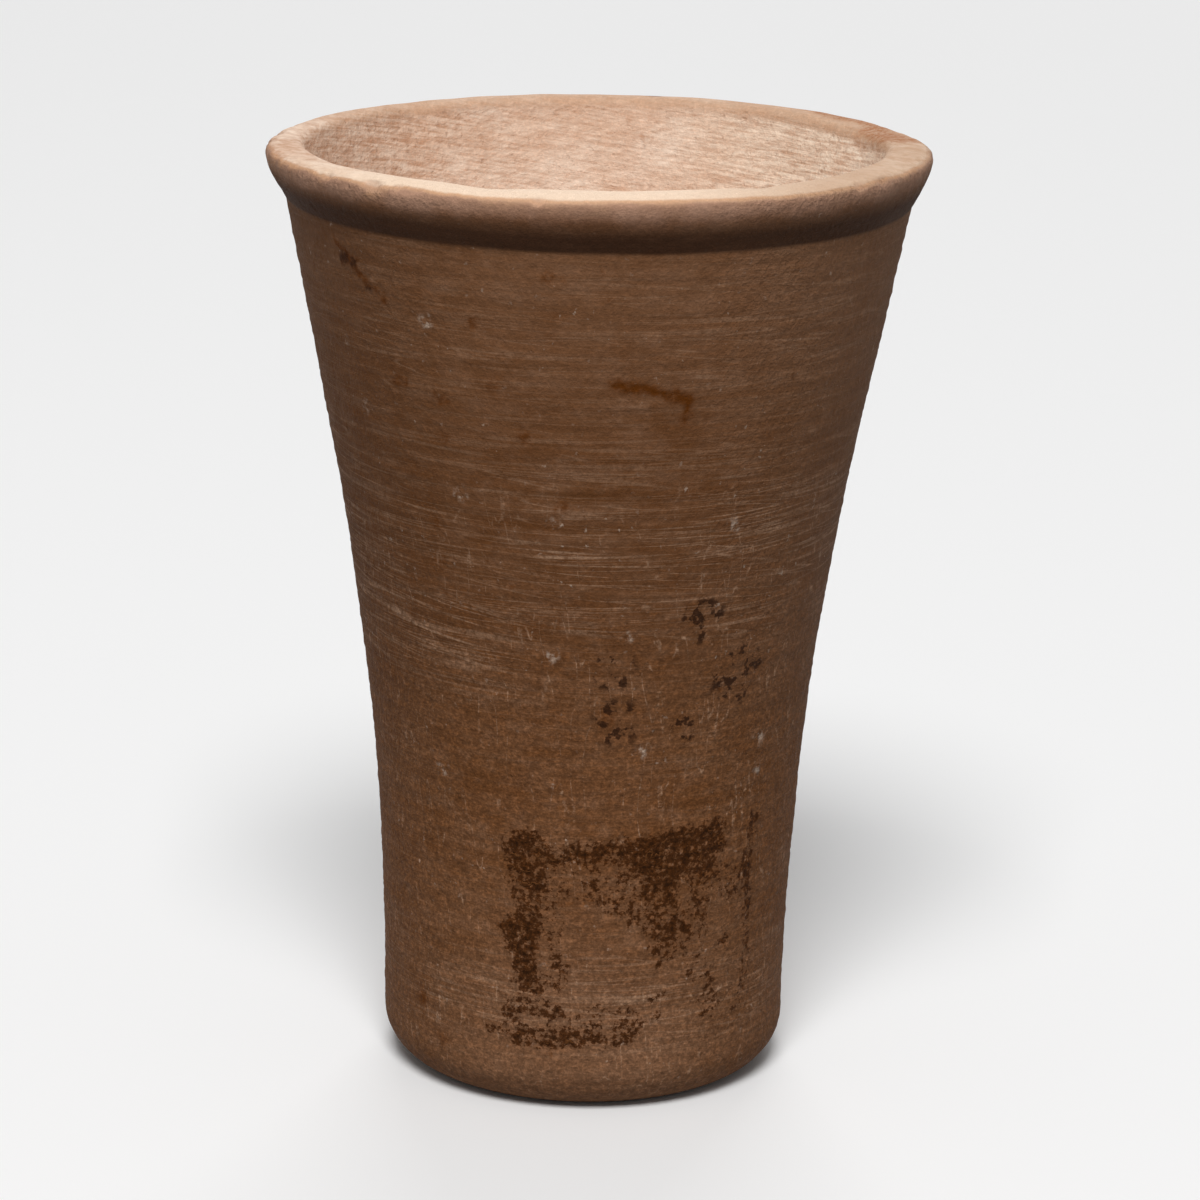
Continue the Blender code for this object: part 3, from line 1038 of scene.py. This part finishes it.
def stone_finish():
    """Brown outside and pale inside, partly the stone's own patina outside and cleaner stone inside, and
    partly painted shade on the wall and painted light on the rim and bore, with a ragged edge between them
    along the rim, and grit all over.
    """
    stone = Finish("ground_stone")
    spot, parts = stone.place()
    x, y, z = parts
    across = stone.attribute("across")
    under = HEIGHT / MM - stone.attribute("drawn")
    outside = across.rise(0.60, 0.85)
    grit = stone.grain(spot, scale=1.3, detail=4.0, roughness=0.70)
    tooth = stone.grain(spot, scale=3.2, roughness=0.6)
    clouded = stone.grain(spot, scale=0.16, detail=4.0, roughness=0.6)
    lumpy = stone.grain(spot, scale=0.70, detail=3.0, roughness=0.6)
    wall, fuzz, wall_relief = wall_colour(stone, spot, parts, grit)
    bore, bore_relief = bore_colour(stone, spot, parts)

    # The pale rim and bore against the brown wall: partly cleaner stone inside and patina outside, partly
    # painted light on the rim and bore and painted shade on the wall
    edge = across + (clouded - 0.5) * (0.14 + 0.18 * x.rise(*RIM_FRAYED)) + (grit - 0.5) * 0.06
    pale = edge.rise(1.0, 0.84) * under.rise(*PALE_UNDER).most(across.rise(0.97, 0.80))
    rim_top = under.rise(*RIM_UNDER) * pale
    # A painted glow: a warm band where the pale rim meets the brown lip at the front, as of light coming
    # through the stone
    painted_glow = pale * (1 - pale) * outside * y.rise(*PAINTED_GLOW_FRONT)
    colour = stone.mix(pale, lip_colour(stone, wall, under, outside, clouded), bore)
    colour = rim_colour(stone, parts, colour, rim_top, clouded)
    colour = stone.mix(painted_glow * 2.4, colour, EDGE_PAINTED_GLOW)
    colour = worn_rim(stone, spot, colour, under, grit)
    colour = stone.mix(stone.attribute("chipped") * 0.45, colour, LIP_PALE)
    colour = paste_stain(stone, spot, colour)

    coarse = 0.64 + 1.24 * z.rise(*COARSE_UP)
    speckle = ((grit - 0.5) * 1.3 + (fuzz - 0.5) * 0.6 + tooth - 0.5) * coarse
    speckle = 1 + speckle * (1 - 0.30 * pale - 0.40 * rim_top * y.rise(*SMOOTH_FRONT))
    speckle = speckle.most(0.45 + 0.55 * speckle)
    colour = stone.mix(1.0, colour, stone.vector(speckle, speckle, speckle), "MULTIPLY")

    relief = wall_relief * (1 - pale) + bore_relief * pale + tooth * 0.050 + grit * 0.17 + lumpy * 0.13
    ragged = 3.2 * x.rise(*RAGGED_RIGHT) + 1.6 * x.rise(*RAGGED_LEFT)
    normal = stone.bump(relief * (1 + ragged * (1 - pale)))
    rough = 0.62 + 0.18 * tooth
    return stone.finish(Base_Color=colour, Roughness=rough, Normal=normal, Specular_IOR_Level=SPECULAR)


def paste_finish():
    """Brown where the film is thin and darker where more of it is left."""
    paste = Finish("dried_paste_flakes")
    spot = paste.place()[0]
    left = paste.attribute("left")
    grains = paste.grain(spot, scale=2.2, detail=3.0, roughness=0.6)
    dark = (left + grains * 0.5).rise(FILM_CUT + 0.35, FILM_CUT + 0.75)
    colour = paste.mix(left.rise(FILM_CUT, FILM_CUT + 0.25), PASTE_THIN, PASTE_BROWN)
    colour = paste.mix(dark, colour, PASTE_DARK)
    normal = paste.bump(grains * 0.04)
    rough = 0.6 + 0.2 * grains
    return paste.finish(Base_Color=colour, Roughness=rough, Normal=normal, Specular_IOR_Level=SPECULAR)


# Stage, light and camera

def floor_finish():
    """Pale to the camera, and darker to light that bounces, so that little comes up from below."""
    floor = Finish("pale_floor")
    pale = (*[FLOOR_PALE] * 3, 1.0)
    bounced = (*[FLOOR_BOUNCE] * 3, 1.0)
    colour = floor.mix(floor.shown(), bounced, pale)
    return floor.finish(Base_Color=colour, Roughness=FLOOR_ROUGHNESS, Specular_IOR_Level=FLOOR_SPECULAR)


def make_floor():
    bpy.ops.object.select_all(action="DESELECT")
    bpy.ops.mesh.primitive_plane_add(size=FLOOR_SIZE)
    floor = bpy.context.object
    floor.name = "floor"
    floor.data.materials.append(floor_finish())


def make_sky():
    """Pale to the camera, and dimmer as light on the object."""
    sky = Finish("studio", bpy.data.worlds, "Background")
    strength = SKY_LIGHT + sky.shown() * (SKY_SHOWN - SKY_LIGHT)
    bpy.context.scene.world = sky.finish(Color=(1.0, 1.0, 1.0, 1.0), Strength=strength)


def add_lamp(name, turn, elevation, distance, size, level):
    """A square soft box that lights a white face turned to it to about that level."""
    target = Vector((0.0, 0.0, HEIGHT / 2))
    level_reach = distance * math.cos(math.radians(elevation))
    rise = distance * math.sin(math.radians(elevation))
    place = target + Vector(on_turn(turn, level_reach, rise))
    lamp = bpy.data.lights.new(name, "AREA")
    lamp.size = size
    lamp.energy = level * math.pi**2 * distance**2
    holder = bpy.data.objects.new(name, lamp)
    holder.location = place
    holder.rotation_euler = (target - place).to_track_quat("-Z", "Y").to_euler()
    bpy.context.scene.collection.objects.link(holder)


def make_camera():
    camera = bpy.data.cameras.new("camera")
    camera.sensor_width = SENSOR_MM
    camera.lens = SENSOR_MM * FOCAL_PIXELS / PHOTO_PIXELS
    holder = bpy.data.objects.new("camera", camera)
    turn = Matrix.Rotation(-CAMERA_YAW, 4, "Z")
    tip = Matrix.Rotation(math.radians(90) - CAMERA_PITCH, 4, "X")
    roll = Matrix.Rotation(CAMERA_ROLL, 4, "Z")
    holder.matrix_world = Matrix.Translation(CAMERA_PLACE) @ turn @ tip @ roll
    bpy.context.scene.collection.objects.link(holder)
    bpy.context.scene.camera = holder


stone_body = make_stone()
stone_body.data.materials.append(stone_finish())
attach(stone_body, "root")
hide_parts("vessel")

paste_flakes = make_paste(stone_body)
paste_flakes.data.materials.append(paste_finish())
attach(paste_flakes, "root")
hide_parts("glue_residue")

make_floor()
make_sky()
add_lamp("soft_box", turn=-3, elevation=54, distance=3.5, size=1.3, level=0.84)
add_lamp("back_fill", turn=176, elevation=28, distance=3.5, size=2.0, level=0.30)
make_camera()
bpy.context.scene.view_settings.view_transform = "Standard"
